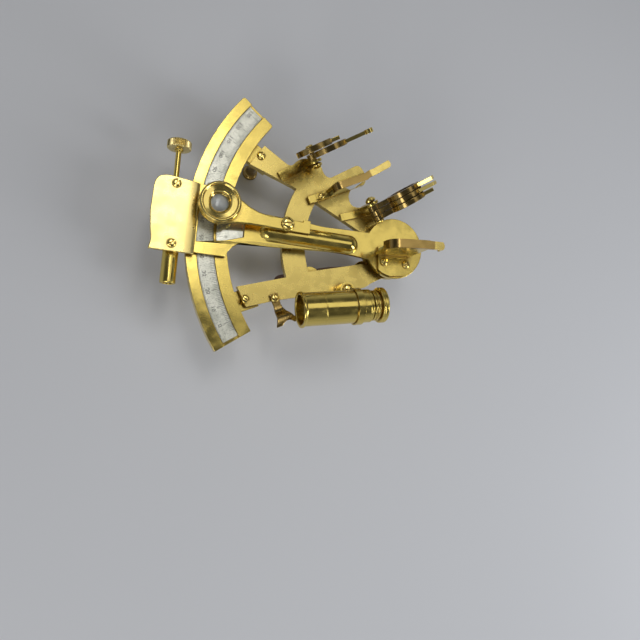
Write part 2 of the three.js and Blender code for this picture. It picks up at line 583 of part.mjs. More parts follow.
// ---- telescope: stowed beside the lower strut, it swings on a post and draws out ----
const POST = [-20.9, -21.4];
const SCOPE = { turn: 10.9, side: -8.2, collar: 24, length: 36 };
function buildTelescope() {
  const [px, py] = POST;
  const foot = FRAME_FRONT + GAP;
  const post = turned([[0, foot], [3.4, foot], [3.4, foot + 1.2], [1.6, foot + 1.2], [1.6, 32.1],
    [2.1, 32.1], [2.1, 32.7], [1.5, 33.5], [0, 33.8]], 16);
  piece(plan, "telescope_post", post.translate(px, py, 0), BRASS_BRIGHT);
  const swivel = group(plan, px, py, 0, SCOPE.turn);
  const hubLow = foot + 1.5;
  const collarPlane = (g) => g.rotateY(Math.PI / 2);
  const collar = ringBody(TUBE_R + 0.2, TUBE_R + 0.8, -1.4, 1.4, 28);
  collarPlane(collar).translate(0, SCOPE.side, SCOPE_AXIS_Z);
  const web = join(block(-1.4, 1.4, SCOPE.side, -0.5, hubLow, 31.8),
    block(-1.4, 1.4, SCOPE.side, -3.2, 31, 34));
  const bore = collarPlane(rod(TUBE_R + 0.5, -5, 5, 28)).translate(0, SCOPE.side, SCOPE_AXIS_Z);
  const hub = rod(3.1, hubLow, 31.8, 24);
  const bracket = cut(join(cut(join(web, hub), bore), collar), rod(1.7, 20, 40, 24));
  piece(swivel, "telescope_bracket", bracket, BRASS);

  const scope = group(swivel, -SCOPE.collar, SCOPE.side, SCOPE_AXIS_Z);
  const along = (profile, segments) => turned(profile, segments).rotateY(Math.PI / 2);
  const r = TUBE_R;
  const shell = [[r - 0.9, 2.2], [r - 0.9, 0.2], [r - 0.5, 0], [r + 0.45, 0], [r + 0.55, 0.5],
    [r + 0.45, 1.1], [r, 1.3], [r, 29.4], [r - 0.4, 29.8], [5.3, 29.8], [5.3, 10.4], [r - 1.4, 10.4],
    [r - 1.4, 5], [r - 0.9, 5], [r - 0.9, 2.2]];
  piece(scope, "telescope_tube", along(shell, 28), BRASS);
  const objective = [[0, 5.9], [4, 6.1], [5.3, 6.6], [5.3, 8.2], [3.6, 8.9], [0, 9.2]];
  piece(scope, "objective_lens", along(objective, 20), LENS);
  const end = SCOPE.length;
  const draw = [[4.2, 17], [5.2, 17], [5.2, 30.2], [6.3, 30.2], [6.3, 31.2], [5.9, 31.4], [5.9, 31.8],
    [6.3, 32], [6.3, 32.6], [5.6, 32.9], [5.6, 33.2], [7.1, 33.4], [7.3, 33.8], [7.3, end - 0.5],
    [7, end], [6, end], [2.4, end - 1.4], [2.4, end - 3], [4.2, end - 3], [4.2, 17]];
  piece(scope, "draw_tube", along(draw, 24), BRASS);
  const eye = [[0, end - 6], [2.6, end - 5.8], [4.1, end - 5.2], [4.1, end - 4], [2.2, end - 3.4],
    [0, end - 3.2]];
  piece(scope, "eyepiece_lens", along(eye, 16), LENS);
}

// Spring rest for the telescope's front end: a strap bent from the strut's edge to a forked seat.
function buildRest() {
  const low = FRAME_FRONT + GAP;
  const rest = group(plan, -50, -28.6, 0, -64);
  const t = 0.9;
  const lower = new THREE.Shape();
  lower.moveTo(-2, low);
  lower.lineTo(3.4, low);
  lower.quadraticCurveTo(6.4, low, 7.4, low + 2.4);
  lower.quadraticCurveTo(8.4, low + 4.6, 11.6, low + 4.4);
  lower.lineTo(11.9, low + 5.2);
  lower.quadraticCurveTo(7.6, low + 6, 6.5, low + 2.8);
  lower.quadraticCurveTo(5.8, low + t, 3.2, low + t);
  lower.lineTo(-2, low + t);
  const strap = prism(lower, -6.4, 6.4, 8).rotateX(Math.PI / 2);
  const plate = new THREE.Shape();
  plate.moveTo(-1.9, -1.9);
  plate.lineTo(3, -1.6);
  plate.quadraticCurveTo(7, -1.8, 12, -4.6);
  plate.lineTo(12.4, -2.4);
  plate.quadraticCurveTo(8.2, 1.4, 12.4, 4);
  plate.lineTo(12, 6.2);
  plate.quadraticCurveTo(7, 2.4, 3, 1.7);
  plate.lineTo(-1.9, 1.9);
  const hole = rod(1, 10, 40, 12);
  piece(rest, "telescope_rest", cut(meet(strap, prism(plate, 20, 40)), hole), BRASS_DARK);
  const head = screw(SCREW_R, 0.8, 0.8, 0).translate(0, 0, low + t + GAP);
  piece(rest, "rest_screw", head, BRASS_BRIGHT);
}

buildFrame();
buildLimb();
buildFeet();
buildHandle();
buildPivot();
buildArm();
buildCover();
buildTangent();
buildIndexMirror();
buildMagnifier();
buildHorizonMirror();
buildShadeSets();
buildTelescope();
buildRest();

export default sextant;
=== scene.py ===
# Nautical sextant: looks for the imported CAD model. Blender is in metres. Profiles, widths and heights
# are in millimetres, with the index arm's pivot at the origin, unless a comment says metres.
import json
import math

import bmesh
import bpy
from mathutils import Matrix, Vector


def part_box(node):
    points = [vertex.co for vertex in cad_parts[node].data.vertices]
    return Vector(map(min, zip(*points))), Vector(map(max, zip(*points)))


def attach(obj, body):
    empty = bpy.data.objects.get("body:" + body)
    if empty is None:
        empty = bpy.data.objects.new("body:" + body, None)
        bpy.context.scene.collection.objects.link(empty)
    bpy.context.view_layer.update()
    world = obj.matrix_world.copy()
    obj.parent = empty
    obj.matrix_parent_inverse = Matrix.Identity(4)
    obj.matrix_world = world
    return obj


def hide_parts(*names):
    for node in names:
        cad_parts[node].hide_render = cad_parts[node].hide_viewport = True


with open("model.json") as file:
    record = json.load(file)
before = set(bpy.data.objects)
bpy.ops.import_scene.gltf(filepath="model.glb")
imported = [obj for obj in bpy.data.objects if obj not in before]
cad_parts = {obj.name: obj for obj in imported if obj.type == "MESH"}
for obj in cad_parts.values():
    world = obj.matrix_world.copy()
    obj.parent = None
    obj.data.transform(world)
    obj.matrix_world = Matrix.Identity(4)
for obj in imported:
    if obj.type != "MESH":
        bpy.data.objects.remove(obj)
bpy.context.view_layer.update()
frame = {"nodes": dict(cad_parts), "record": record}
NODES = frame["nodes"]
BODY_OF = {n: b for b, names in frame["record"]["behaviour"]["bodies"].items() for n in names}
SLOT_OF = {s["node"]: s["material_slot"] for s in frame["record"]["subparts"]}

TO_MM, FROM_MM = 1000, 0.001  # metres to millimetres and back
MM = Matrix.Scale(FROM_MM, 4)


def turn(degrees, axis):
    return Matrix.Rotation(math.radians(degrees), 4, axis)


PLAN = Matrix.Translation((44.96, 0.21, 0))  # the arm's pivot, from the middle of the bounding box
ARM_REST = 1.15  # degrees
ARM = PLAN @ turn(ARM_REST, "Z")


# ---- camera: the photograph's viewing angle ----
def build_camera():
    data = bpy.data.cameras.new("camera")
    data.lens, data.sensor_width = 35.1, 36
    data.clip_start, data.clip_end = 0.01, 20
    camera = bpy.data.objects.new("camera", data)
    bpy.context.scene.collection.objects.link(camera)
    right = Vector((0.9444921, 0.0947053, 0.3145880))
    up = Vector((-0.1276841, 0.9880891, 0.0858882))
    back = right.cross(up).normalized()
    spin = Matrix((right, back.cross(right), back)).transposed().to_4x4()
    where = PLAN @ Vector((-109.496, -67.150, 274.939))
    camera.matrix_world = Matrix.Translation(MM @ where) @ spin
    bpy.context.scene.camera = camera


# ---- materials ----
def put(tree, socket, value):
    if isinstance(value, bpy.types.NodeSocket):
        tree.links.new(value, socket)
    else:
        socket.default_value = value


class Shade:
    """A Principled material and short names for the nodes that feed it."""

    def __init__(self, name, **constants):
        self.material = bpy.data.materials.new(name)
        self.material.use_nodes = True
        self.tree = self.material.node_tree
        self.surface = self.tree.nodes["Principled BSDF"]
        self.set(**constants)
        self.where = self.node("TexCoord").outputs["Object"]

    def set(self, **inputs):
        for key, value in inputs.items():
            put(self.tree, self.surface.inputs[key.replace("_", " ")], value)

    def node(self, kind, props=None, **inputs):
        made = self.tree.nodes.new("ShaderNode" + kind)
        for key, value in (props or {}).items():
            setattr(made, key, value)
        for key, value in inputs.items():
            put(self.tree, made.inputs[key.replace("_", " ")], value)
        return made

    def noise(self, scale, detail=4, stretch=None, distortion=0.0, roughness=0.55):
        where = self.where
        if stretch:
            where = self.node("Mapping", Vector=where, Scale=stretch).outputs["Vector"]
        return self.node("TexNoise", Vector=where, Scale=scale, Detail=detail, Roughness=roughness,
                         Distortion=distortion).outputs["Fac"]

    def ramp(self, value, low, high, to_low=0.0, to_high=1.0):
        made = self.node("MapRange", {"interpolation_type": "SMOOTHSTEP"}, Value=value, From_Min=low,
                         From_Max=high, To_Min=to_low, To_Max=to_high)
        return made.outputs["Result"]

    def maths(self, operation, a, b):
        made = self.tree.nodes.new("ShaderNodeMath")
        made.operation = operation
        put(self.tree, made.inputs[0], a)
        put(self.tree, made.inputs[1], b)
        return made.outputs[0]

    def mix(self, factor, a, b):
        made = self.tree.nodes.new("ShaderNodeMix")
        made.data_type = "RGBA"
        put(self.tree, made.inputs[0], factor)
        put(self.tree, made.inputs[6], (*a, 1) if isinstance(a, tuple) else a)
        put(self.tree, made.inputs[7], (*b, 1) if isinstance(b, tuple) else b)
        return made.outputs[2]

    def bump(self, height, strength, distance, under=None):
        made = self.node("Bump", Height=height, Strength=strength, Distance=distance)
        if under is not None:
            put(self.tree, made.inputs["Normal"], under)
        return made.outputs["Normal"]

    def along(self, direction):
        """How far a point lies along a direction, in metres from the frame's origin."""
        made = self.node("VectorMath", {"operation": "DOT_PRODUCT"})
        put(self.tree, made.inputs[0], self.where)
        put(self.tree, made.inputs[1], direction)
        return made.outputs["Value"]

    def crevice(self, reach, amount):
        """Nearly `amount` in corners closer together than `reach`, and 0 in the open. It is an
        ambient-occlusion mask, so what it darkens is painted shade.
        """
        near = self.node("AmbientOcclusion", {"samples": 6}, Distance=reach).outputs["AO"]
        return self.ramp(near, 0.35, 0.92, amount, 0.0)


def metal(name, colour, stain, gloss, satin, grain=None, lines=0.12, tarnish_and_shade=0.75, pits=0.05, tab=None):
    """Brass or silver with handling marks, tarnish and painted shade in its corners and, along `grain`, brush
    lines.
    `tab` is a direction and the distance along it, in metres, past which the metal is painted bright brass as
    a highlight."""
    m = Shade(name, Metallic=1.0)
    if tab:
        # Past the tab's start the colour turns to bright brass: a painted highlight.
        colour = m.mix(m.ramp(m.along(tab[0]), tab[1] - 0.0004, tab[1] + 0.0004), colour, BRIGHT)
    blotch = m.noise(60, 3, distortion=0.4)
    smear = m.noise(210, 4, roughness=0.5)
    # Corners are darkened brown from ambient occlusion: painted shade, which also stands for tarnish in the
    # hollows.
    corner = m.crevice(0.0022, tarnish_and_shade)
    worn_and_shaded = m.maths("MAXIMUM", corner, m.ramp(blotch, 0.45, 0.95, 0.0, 0.16))
    speck = m.ramp(m.noise(2300, 3), 0.70, 0.78, 0.0, 0.16)
    m.set(Base_Color=m.mix(m.maths("MAXIMUM", worn_and_shaded, speck), colour, stain))
    rough = m.ramp(smear, 0.34, 0.68, gloss, satin)
    m.set(Roughness=m.maths("ADD", rough, m.maths("MULTIPLY", worn_and_shaded, 0.22)))
    surface = m.bump(m.noise(2600, 4), pits, 0.00006)
    if grain:
        surface = m.bump(m.noise(1, 5, stretch=grain), lines, 0.00004, surface)
    scratch = m.ramp(m.noise(1, 2, stretch=(150, 2600, 900), distortion=1.2), 0.60, 0.66)
    surface = m.bump(scratch, 0.05, 0.00003, surface)
    m.set(Normal=surface)
    return m.material


def silver(name, gloss=0.34, stipple=0.8):
    """Silvering, matt and stippled or polished, rubbed grey in places."""
    m = Shade(name, Metallic=0.9)
    grit = m.noise(2100, 5, roughness=0.7)
    wear = m.ramp(m.noise(240, 4), 0.4, 0.7)
    clean = m.mix(wear, (0.84, 0.84, 0.74), (0.62, 0.63, 0.54))
    m.set(Base_Color=m.mix(m.ramp(grit, 0.50, 0.68, 0.0, stipple), clean, (0.24, 0.24, 0.19)))
    m.set(Roughness=m.ramp(grit, 0.35, 0.65, gloss, gloss + 0.22 * stipple))
    m.set(Normal=m.bump(grit, 0.7 * stipple, 0.00008))
    return m.material


def mirror(name):
    m = Shade(name, Metallic=1.0)
    spots = m.ramp(m.noise(900, 5), 0.60, 0.72)
    m.set(Base_Color=m.mix(spots, (0.80, 0.84, 0.84), (0.55, 0.58, 0.57)))
    m.set(Roughness=m.ramp(m.noise(260, 4), 0.45, 0.75, 0.02, 0.10))
    return m.material


def glass(name, tint, edge, clear=1.0):
    m = Shade(name, Transmission_Weight=clear, IOR=1.52, Specular_IOR_Level=0.6)
    dust = m.ramp(m.noise(700, 5), 0.58, 0.75, 0.0, 0.5)
    m.set(Base_Color=m.mix(dust, tint, edge))
    m.set(Roughness=m.ramp(m.noise(240, 4), 0.4, 0.8, 0.0, 0.07))
    return m.material


def wood(name):
    m = Shade(name, Coat_Weight=0.35, Coat_Roughness=0.22)
    rings = m.noise(1, 3, stretch=(60, 900, 900), distortion=1.6)
    pores = m.ramp(m.noise(1, 4, stretch=(420, 5200, 5200)), 0.56, 0.66)
    tone = m.mix(m.ramp(rings, 0.36, 0.64), (0.075, 0.026, 0.012), (0.235, 0.092, 0.038))
    m.set(Base_Color=m.mix(m.maths("MULTIPLY", pores, 0.7), tone, (0.02, 0.008, 0.004)))
    m.set(Roughness=m.ramp(rings, 0.3, 0.7, 0.34, 0.5))
    m.set(Normal=m.bump(pores, 0.25, -0.00008))
    return m.material


def enamel(name):
    m = Shade(name, Metallic=0.0)
    m.set(Base_Color=m.mix(m.ramp(m.noise(1800, 4), 0.42, 0.7), (0.012, 0.012, 0.010), (0.16, 0.15, 0.11)))
    m.set(Roughness=m.ramp(m.noise(900, 3), 0.3, 0.7, 0.45, 0.75))
    return m.material


GOLD = (0.74, 0.57, 0.15)
BRIGHT = (0.90, 0.70, 0.22)
BROWN = (0.26, 0.13, 0.035)
ACROSS = (3800, 160, 3800)  # lines that run along Y
ALONG = (160, 3800, 3800)  # lines that run along X
MATERIALS = {
    "brass": metal("brass", GOLD, BROWN, 0.13, 0.27, ALONG, lines=0.04),
    "brass_brushed": metal("brass_brushed", (0.70, 0.545, 0.165), BROWN, 0.22, 0.34, ALONG, lines=0.1),
    "brass_dark": metal("brass_dark", (0.36, 0.25, 0.085), (0.09, 0.045, 0.016), 0.15, 0.30, tarnish_and_shade=0.9),
    "brass_bright": metal("brass_bright", BRIGHT, BROWN, 0.08, 0.16, pits=0.02),
    "silver_scale": silver("silver_scale"),
    "mirror_glass": mirror("mirror_glass"),
    # The lenses are partly milky bluish-white, a painted reflection of a bright window.
    "lens_glass": glass("lens_glass", (0.88, 0.95, 1.0), (0.78, 0.86, 0.90), 0.55),
    "shade_green": glass("shade_green", (0.05, 0.12, 0.07), (0.10, 0.16, 0.12)),
    "shade_amber": glass("shade_amber", (0.16, 0.09, 0.02), (0.20, 0.14, 0.07)),
    "shade_rose": glass("shade_rose", (0.14, 0.035, 0.03), (0.20, 0.09, 0.08)),
    "grip_wood": wood("grip_wood"),
}
ENAMEL = enamel("engraving_fill")
PALE_BRASS = metal("brass_pale", (0.86, 0.72, 0.33), BROWN, 0.24, 0.36)
POLISHED_SILVER = silver("silver_polished", 0.1, 0.15)
BRUSHED_ACROSS = metal("brass_brushed_across", (0.84, 0.68, 0.26), BROWN, 0.26, 0.32, ACROSS, lines=0.1)


# ---- edges and shading that every piece gets ----
def sharp_edge_group(limit):
    """Geometry nodes that shade smooth, apart from the edges sharper than `limit` degrees."""
    group = bpy.data.node_groups.new("shade_by_angle", "GeometryNodeTree")
    group.interface.new_socket("Geometry", in_out="INPUT", socket_type="NodeSocketGeometry")
    group.interface.new_socket("Geometry", in_out="OUTPUT", socket_type="NodeSocketGeometry")
    new, link = group.nodes.new, group.links.new
    start, end = new("NodeGroupInput"), new("NodeGroupOutput")
    faces, edges = new("GeometryNodeSetShadeSmooth"), new("GeometryNodeSetShadeSmooth")
    faces.domain, edges.domain = "FACE", "EDGE"
    angle, compare = new("GeometryNodeInputMeshEdgeAngle"), new("FunctionNodeCompare")
    compare.operation = "LESS_EQUAL"
    compare.inputs[1].default_value = math.radians(limit)
    link(angle.outputs["Unsigned Angle"], compare.inputs[0])
    link(compare.outputs[0], edges.inputs["Shade Smooth"])
    link(start.outputs[0], faces.inputs[0])
    link(faces.outputs[0], edges.inputs[0])
    link(edges.outputs[0], end.inputs[0])
    return group


BY_ANGLE = sharp_edge_group(38)


def dress(obj, width, segments=3, limit=30, flatten=True):
    """Rounds the edges of a piece by `width` mm and shades it, with its flat faces kept flat."""
    if flatten:
        weld = obj.modifiers.new("weld", "WELD")
        weld.merge_threshold = 2e-6
        plane = obj.modifiers.new("plane", "DECIMATE")
        plane.decimate_type = "DISSOLVE"
        plane.angle_limit = math.radians(1.2)
    if width:
        bevel = obj.modifiers.new("edges", "BEVEL")
        bevel.width, bevel.segments = width * FROM_MM, segments
        bevel.limit_method, bevel.angle_limit = "ANGLE", math.radians(limit)
        bevel.miter_outer = "MITER_ARC"
    shade = obj.modifiers.new("shade", "NODES")
    shade.node_group = BY_ANGLE
    weighted = obj.modifiers.new("weighted", "WEIGHTED_NORMAL")
    weighted.keep_sharp, weighted.weight = True, 60


def paint(obj, material):
    obj.data.materials.clear()
    obj.data.materials.append(material)


# ---- making pieces ----
def mesh_object(name, body, slot, verts, faces, matrix, material=None):
    mesh = bpy.data.meshes.new(name)
    mesh.from_pydata([MM @ (matrix @ Vector(v)) for v in verts], [], faces)
    made = bmesh.new()
    made.from_mesh(mesh)
    bmesh.ops.remove_doubles(made, verts=made.verts, dist=1e-8)
    bmesh.ops.recalc_face_normals(made, faces=made.faces)
    made.to_mesh(mesh)
    made.free()
    obj = bpy.data.objects.new(name, mesh)
    bpy.context.scene.collection.objects.link(obj)
    paint(obj, material or MATERIALS[slot])
    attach(obj, body)
    return obj


def rounded(profile, radius, steps=4, closed=False):
    """A profile whose corners are rounded by `radius`."""
    points = [Vector((r, h)) for r, h in profile]
    count = len(points)
    made = []
    for i, corner in enumerate(points):
        if not closed and i in (0, count - 1):
            made.append(tuple(corner))
            continue
        before, after = points[i - 1], points[(i + 1) % count]
        room = min((before - corner).length, (after - corner).length) * 0.45
        reach = min(radius, room)
        a = corner + (before - corner).normalized() * reach
        b = corner + (after - corner).normalized() * reach
        for k in range(steps + 1):
            t = k / steps
            point = a * (1 - t) ** 2 + corner * 2 * t * (1 - t) + b * t ** 2
            made.append((point.x, point.y))
    return made


def lathe(profile, segments=72, closed=False, wave=None):
    """Vertices and faces of a body turned about Z. `wave(angle, r)` changes a radius."""
    verts, rings, faces = [], [], []
    for r, h in profile:
        if r < 1e-6:
            rings.append([len(verts)])
            verts.append((0, 0, h))
            continue
        rings.append(list(range(len(verts), len(verts) + segments)))
        for i in range(segments):
            angle = 2 * math.pi * i / segments
            out = wave(angle, r) if wave else r
            verts.append((out * math.cos(angle), out * math.sin(angle), h))
    pairs = list(zip(rings, rings[1:])) + ([(rings[-1], rings[0])] if closed else [])
    for low, high in pairs:
        for i in range(segments):
            j = (i + 1) % segments
            if len(low) == 1 and len(high) == 1:
                break
            if len(low) == 1:
                faces.append((low[0], high[j], high[i]))
            elif len(high) == 1:
                faces.append((low[i], low[j], high[0]))
            else:
                faces.append((low[i], low[j], high[j], high[i]))
    return verts, faces


def turned(node, profile, matrix, corner=0.15, segments=72, closed=False, wave=None, material=None,
           suffix="turned"):
    """A finely turned piece that stands for a CAD node."""
    shape = rounded(profile, corner, closed=closed) if corner else profile
    verts, faces = lathe(shape, segments, closed, wave)
    obj = mesh_object(f"{node}_{suffix}", BODY_OF[node], SLOT_OF[node], verts, faces, matrix, material)
    dress(obj, 0, flatten=False)
    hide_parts(node)
    return obj


def middle(node):
    """Centre of a node's box, in mm."""
    low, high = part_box(node)
    return (low + high) * (TO_MM / 2)


# ---- CAD nodes that are shown, with rounded edges ----
EDGE_WIDTH = {
    "frame_plate": 0.35, "limb": 0.3, "index_arm": 0.35, "cover_plate": 0.3,
    "magnifier_bar": 0.2, "tangent_block": 0.3, "index_mirror_bracket": 0.25, "horizon_mirror_bracket": 0.25,
    "index_mirror_clip": 0.5, "horizon_mirror_clip": 0.4, "index_mirror_glass": 0.12,
    "horizon_mirror_glass": 0.12, "telescope_bracket": 0.3,
    "horizon_shade_bracket": 0.25, "index_shade_bracket": 0.25, "scale_strip": 0.05, "vernier": 0.1,
    "pivot_nut": 0.3, "handle_post_outer": 0.2, "handle_post_inner": 0.2, "pivot_bearing": 0.2,
    "pivot_pin": 0.25, "telescope_post": 0.15,
}
SHADE_RINGS = [n for n in NODES if "_shade_" in n and n[-1].isdigit() and "glass" not in n]
SHADE_GLASSES = [n for n in NODES if "_shade_glass_" in n]
SHADE_PINS = ["index_shade_pin", "horizon_shade_pin"]
RIM = 0.0079  # a shade's own radius, m
STRAPS = {"index_mirror_clip": 0.0105, "horizon_mirror_clip": 0.0088}  # reach of the dark strap, m


def face_centre(mesh, face):
    return sum((mesh.vertices[v].co for v in face.vertices), Vector()) / len(face.vertices)


def brighten(name, is_tab):
    """Gives the faces of a node that pass `is_tab`, its finger tabs, the bright brass finish as a painted
    highlight.
    """
    mesh = NODES[name].data
    mesh.materials.append(MATERIALS["brass_bright"])
    for face in mesh.polygons:
        if is_tab(face_centre(mesh, face)):
            face.material_index = 1


def brighten_tabs():
    # The shades' finger tabs get bright brass: a painted highlight.
    for name in SHADE_RINGS:
        glass_at = middle(name[:-1] + "glass_" + name[-1]) / TO_MM
        pin_at = middle(name.split("_shade_")[0] + "_shade_pin") / TO_MM
        brighten(name, lambda p: (p - glass_at).length > RIM and (p - pin_at).length > RIM)


def strap(name, reach):
    """Dark brass with a finger tab that starts `reach` from the middle of its mirror and is painted bright
    brass as a highlight.
    """
    glass_at = middle(name.replace("clip", "glass")).xy / TO_MM
    points = [v.co.xy - glass_at for v in NODES[name].data.vertices]
    out = max(points, key=lambda p: p.length).normalized()
    return metal("brass_" + name, (0.38, 0.26, 0.085), BROWN, 0.12, 0.26,
                 tab=((out.x, out.y, 0), glass_at.dot(out) + reach))


def dress_nodes():
    for name, width in EDGE_WIDTH.items():
        dress(NODES[name], width)
    for name in SHADE_RINGS:
        dress(NODES[name], 0.45)
    for name in SHADE_GLASSES + SHADE_PINS:
        dress(NODES[name], 0.12)
    for name, obj in NODES.items():
        mesh = obj.data
        if mesh.has_custom_normals:
            mesh.attributes.remove(mesh.attributes["custom_normal"])
        paint(obj, MATERIALS[SLOT_OF[name]])
    paint(NODES["cover_plate"], BRUSHED_ACROSS)
    paint(NODES["vernier"], POLISHED_SILVER)
    for name, reach in STRAPS.items():
        paint(NODES[name], strap(name, reach))
    brighten_tabs()


# ---- cast pieces: the CAD solid with its edges smoothed round ----
CAST = {"magnifier_arm": (0.22, 14), "telescope_rest": (0.16, 6)}  # cell in mm, smoothing steps


def build_cast():
    for node, (cell, steps) in CAST.items():
        mesh = NODES[node].data.copy()
        obj = bpy.data.objects.new(node + "_cast", mesh)
        bpy.context.scene.collection.objects.link(obj)
        weld = obj.modifiers.new("weld", "WELD")
        weld.merge_threshold = 2e-6
        cells = obj.modifiers.new("cells", "REMESH")
        cells.mode, cells.voxel_size = "VOXEL", cell * FROM_MM
        wear = obj.modifiers.new("wear", "SMOOTH")
        wear.factor, wear.iterations = 0.5, steps
        graph = bpy.context.evaluated_depsgraph_get()
        obj.data = bpy.data.meshes.new_from_object(obj.evaluated_get(graph))
        obj.modifiers.clear()
        obj.data.shade_smooth()
        paint(obj, MATERIALS[SLOT_OF[node]])
        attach(obj, BODY_OF[node])
        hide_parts(node)


# ---- screws ----
def screw_mesh():
    """Vertices and faces of a domed head of radius 1 and height 1 with a cut slot along X."""
    head = rounded([(0, -0.6), (0.6, -0.6), (0.6, 0), (1, 0), (1, 0.35), (0.75, 0.85), (0, 1)], 0.22, 5)
    verts, faces = lathe(head, 64)
    dome = bpy.data.meshes.new("dome")
    dome.from_pydata(verts, [], faces)
    body = bpy.data.objects.new("dome", dome)
    made = bmesh.new()
    bmesh.ops.create_cube(made, size=1, matrix=Matrix.Translation((0, 0, 1.1)) @ Matrix.Diagonal(
        (3, 0.27, 1.25, 1)))
    block = bpy.data.meshes.new("slot")
    made.to_mesh(block)
    made.free()
    tool = bpy.data.objects.new("slot", block)
    for o in (body, tool):
        bpy.context.scene.collection.objects.link(o)
    cutter = body.modifiers.new("cut", "BOOLEAN")
    cutter.object, cutter.operation, cutter.solver = tool, "DIFFERENCE", "EXACT"
    result = bpy.data.meshes.new_from_object(body.evaluated_get(bpy.context.evaluated_depsgraph_get()))
    out = [tuple(v.co) for v in result.vertices], [tuple(p.vertices) for p in result.polygons]
    for o in (body, tool):
        bpy.data.objects.remove(o)
    return out


SCREWS = {  # slot angle and head height, mm
    "limb_screw_upper": (60, 1.1), "limb_screw_lower": (-35, 1.1), "cover_screw_upper": (66, 1.1),
    "cover_screw_lower": (41, 1.1), "index_bracket_screw_left": (86, 1.1),
    "index_bracket_screw_right": (26, 1.1), "magnifier_pivot_screw": (12, 1.6),
    "horizon_bracket_screw": (29, 0.9), "rest_screw": (-64, 1.1),
}


def build_screws():
    verts, faces = screw_mesh()
    for node, (angle, height) in SCREWS.items():
        low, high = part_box(node)
        radius = (high.x - low.x) * (TO_MM / 2)
        centre = middle(node)
        seat = high.z * TO_MM - height
        place = Matrix.Translation((centre.x, centre.y, seat)) @ turn(angle, "Z") @ Matrix.Diagonal(
            (radius, radius, height, 1))
        obj = mesh_object(node + "_turned", BODY_OF[node], SLOT_OF[node], verts, faces, place)
        dress(obj, 0.05, 2, 40, flatten=False)
        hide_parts(node)


# ---- tangent screw ----
KNOB = 4.85
TEETH = 42


def knurl(angle, r):
    if r > KNOB * 0.955:
        tooth = abs((angle * TEETH / (2 * math.pi)) % 1 - 0.5) * 2
        return r - 0.34 * tooth
    return r


def build_tangent():
    """Screw and barrel lie along Y under the arm's end plate."""
    along_y = ARM @ Matrix.Translation((-95.2, 0, 24)) @ turn(-90, "X")
    shaft = [(0, -12), (1.1, -12), (1.1, 27.2), (1.75, 27.4), (1.75, 28.2), (4.45, 28.25), (KNOB, 28.6),
             (KNOB, 31.2), (4.5, 31.6), (3.6, 31.55), (3.2, 31.2), (1.9, 31.2), (1.6, 31.55), (0, 31.6)]
    screw = turned("tangent_screw", shaft, along_y, 0.12, TEETH * 6, wave=knurl)
    screw.data.materials.append(PALE_BRASS)
    knob_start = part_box("tangent_screw")[1].y - 0.0036
    for face in screw.data.polygons:
        if face_centre(screw.data, face).y > knob_start:
            face.material_index = 1
    under = ARM @ Matrix.Translation((-94.3, -13.5, 24)) @ turn(90, "X")
    barrel = [(0, 0), (3.15, 0), (3.15, 12.95), (2.9, 13.3), (2.3, 13.3), (2.1, 13.1), (2.1, 3), (0, 3)]
    turned("tangent_barrel", barrel, under, 0.12, 72)


# ---- magnifier ----
def build_magnifier():
    low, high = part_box("magnifier_bezel")
    centre = (low + high) * (TO_MM / 2)
    place = Matrix.Translation((centre.x, centre.y, low.z * TO_MM))
    dish = [(3.5, 0), (8, 0), (8.2, 0.35), (8.2, 0.9), (8.0, 1.1), (8.2, 1.3), (8.2, 2.6), (7.85, 3.25),
            (7.3, 3.4), (6.95, 3.2), (6.7, 2.8), (5.0, 2.5), (4.5, 2.4), (4.2, 2.1), (4.05, 0.9), (3.5, 0.7)]
    turned("magnifier_bezel", dish, place, 0.14, 96, closed=True)
    lens_low, lens_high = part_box("magnifier_lens")
    z0, z1 = lens_low.z * TO_MM, lens_high.z * TO_MM
    mid = (z0 + z1) / 2
    bulge = [(0, z0)] + [(4 * k / 10, z0 + 0.55 * (k / 10) ** 2) for k in range(1, 11)]
    bulge += [(4, mid + 0.2)] + [(4 * k / 10, z1 - 0.55 * (k / 10) ** 2) for k in range(9, 0, -1)] + [(0, z1)]
    turned("magnifier_lens", bulge, Matrix.Translation((centre.x, centre.y, 0)), 0, 72)


# ---- telescope ----
SCOPE = PLAN @ Matrix.Translation((-20.9, -21.4, 0)) @ turn(10.9, "Z") @ Matrix.Translation(
    (-24, -8.2, 39.5)) @ turn(90, "Y")


